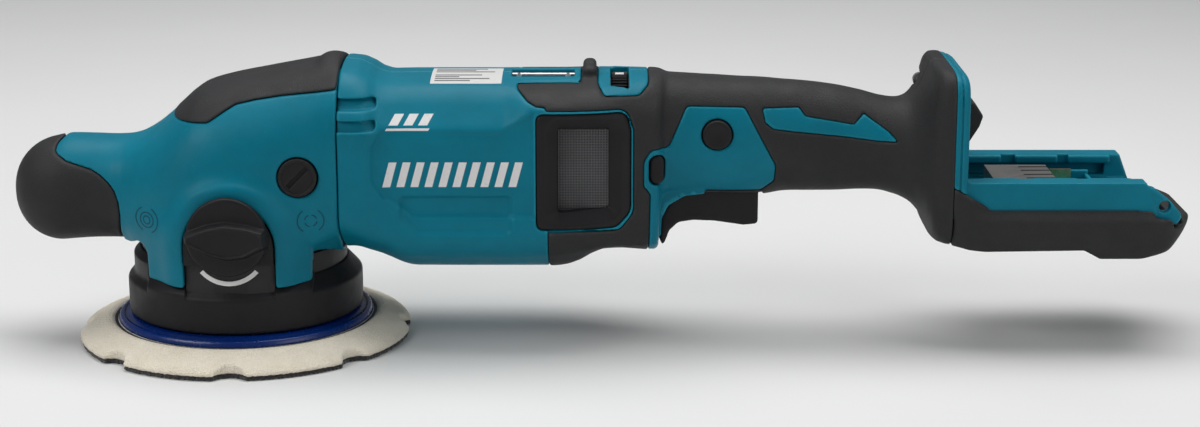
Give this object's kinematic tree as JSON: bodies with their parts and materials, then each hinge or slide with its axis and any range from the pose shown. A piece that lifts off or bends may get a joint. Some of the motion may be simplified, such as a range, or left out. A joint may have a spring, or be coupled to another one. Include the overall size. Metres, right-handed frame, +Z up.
{
  "type": "dual action polisher",
  "caption": "Cordless dual action polisher: a backing pad on an orbiting geared drive, a barrel motor casing, a grip with a trigger, and a rear slide for a battery.",
  "frame": {"origin": "on the drive spindle's axis, in the plane of the pad's face", "axes": "+Z up and away from the pad along the spindle, +X back to the battery end along the motor axis, -Y towards the mode knob"},
  "size_m": [0.5258, 0.1497, 0.1267],
  "materials": {
    "casing_plastic": "fine texture",
    "cover_rubber": "soft matt",
    "black_plastic": "satin",
    "cast_metal": "cast",
    "steel": "ground",
    "iron": "machined",
    "copper": "enamelled wire",
    "board": "lacquered",
    "brown_plastic": "satin",
    "contacts": "plated",
    "blue_plastic": "satin",
    "foam": "moulded foam",
    "hook": "hook pile",
    "grey_mesh": "woven mesh",
    "label": "printed film",
    "wire": "insulation",
    "seal": "matt"
  },
  "bodies": {
    "housing": {"casing_left": "casing_plastic", "casing_right": "casing_plastic", "grip_cover_left": "cover_rubber", "grip_cover_right": "cover_rubber", "head_cover": "casing_plastic", "head_pad": "cover_rubber", "front_grip": "cover_rubber", "gear_housing": "cast_metal", "housing_screws": "steel", "lower_housing": "black_plastic", "skirt": "black_plastic", "lower_bearing": "steel", "upper_bearing": "steel", "ring_bearing": "steel", "motor_front_bearing": "steel", "motor_rear_bearing": "steel", "motor_can": "cast_metal", "stator_core": "iron", "stator_coils": "copper", "front_baffle": "black_plastic", "controller": "cast_metal", "switch_unit": "black_plastic", "dial_board": "board", "terminal_block": "brown_plastic", "terminal_blades": "contacts", "battery_mount": "casing_plastic", "battery_buffer": "cover_rubber", "foot_pad": "cover_rubber", "inlet_frames": "black_plastic", "inlet_meshes": "grey_mesh", "side_plugs": "black_plastic", "casing_screws": "steel", "rating_label": "label", "wire_loom": "wire"},
    "spindle": {"spindle_shaft": "steel", "bevel_gear": "steel", "counterweight": "iron", "spindle_clip": "steel"},
    "rotor": {"rotor_shaft": "steel", "rotor_core": "iron", "pinion": "steel", "fan": "black_plastic"},
    "pad": {"pad_hub": "steel", "pad_gear": "steel", "pad_bearings": "steel", "pad_stud": "steel", "backing_plate": "blue_plastic", "pad_gasket": "seal", "pad_foam": "foam", "hook_layer": "hook"},
    "ring_gear": {"ring_gear": "steel"},
    "mode_knob": {"mode_knob": "black_plastic"},
    "mode_pin": {"mode_pin": "steel"},
    "trigger": {"trigger": "black_plastic", "trigger_spring": "steel"},
    "lock_off_button": {"lock_off_button": "black_plastic"},
    "lock_on_button": {"lock_on_button": "black_plastic"},
    "speed_dial": {"speed_dial": "black_plastic"},
    "hang_ring": {"hang_ring": "steel"}
  },
  "joints": [
    {"name": "spindle_spin", "type": "hinge", "parent": "housing", "child": "spindle", "pos_m": [0, 0, 0.05], "axis": [0, 0, 1], "continuous": true},
    {"name": "motor_spin", "type": "hinge", "parent": "housing", "child": "rotor", "pos_m": [0.06, 0, 0.075], "axis": [1, 0, 0], "continuous": true},
    {"name": "pad_spin", "type": "hinge", "parent": "spindle", "child": "pad", "pos_m": [0, -0.00275, 0.02], "axis": [0, 0, 1], "continuous": true},
    {"name": "ring_gear_spin", "type": "hinge", "parent": "spindle", "child": "ring_gear", "pos_m": [0, 0, 0.026], "axis": [0, 0, 1], "continuous": true},
    {"name": "mode_turn", "type": "hinge", "parent": "housing", "child": "mode_knob", "pos_m": [0, -0.05, 0.0575], "axis": [0, -1, 0], "range_deg": [0, 180]},
    {"name": "mode_pin_drop", "type": "slide", "parent": "housing", "child": "mode_pin", "axis": [0, 0, -1], "range_m": [0, 0.003]},
    {"name": "trigger_press", "type": "slide", "parent": "housing", "child": "trigger", "axis": [0, 0, 1], "range_m": [0, 0.006], "stiffness_N_per_m": 500, "deforming": ["trigger_spring"]},
    {"name": "lock_off_press", "type": "slide", "parent": "housing", "child": "lock_off_button", "axis": [0, 1, 0], "range_m": [0, 0.0024], "stiffness_N_per_m": 300},
    {"name": "lock_on_press", "type": "slide", "parent": "housing", "child": "lock_on_button", "axis": [0, 1, 0], "range_m": [0, 0.002], "stiffness_N_per_m": 300},
    {"name": "dial_turn", "type": "hinge", "parent": "housing", "child": "speed_dial", "pos_m": [0.17, 0, 0.1078], "axis": [1, 0, 0], "range_deg": [-120, 120]},
    {"name": "hang_ring_flip", "type": "hinge", "parent": "housing", "child": "hang_ring", "pos_m": [0.136, 0.006, 0.1174], "axis": [-1, 0, 0], "range_deg": [0, 90]}
  ],
  "couplings": [
    {"joint": "motor_spin", "follows": "spindle_spin", "ratio": 3.1667},
    {"joint": "ring_gear_spin", "follows": "pad_spin", "ratio": 0.89744},
    {"joint": "mode_pin_drop", "follows": "mode_turn", "m_per_rad": 0.00095493}
  ]
}
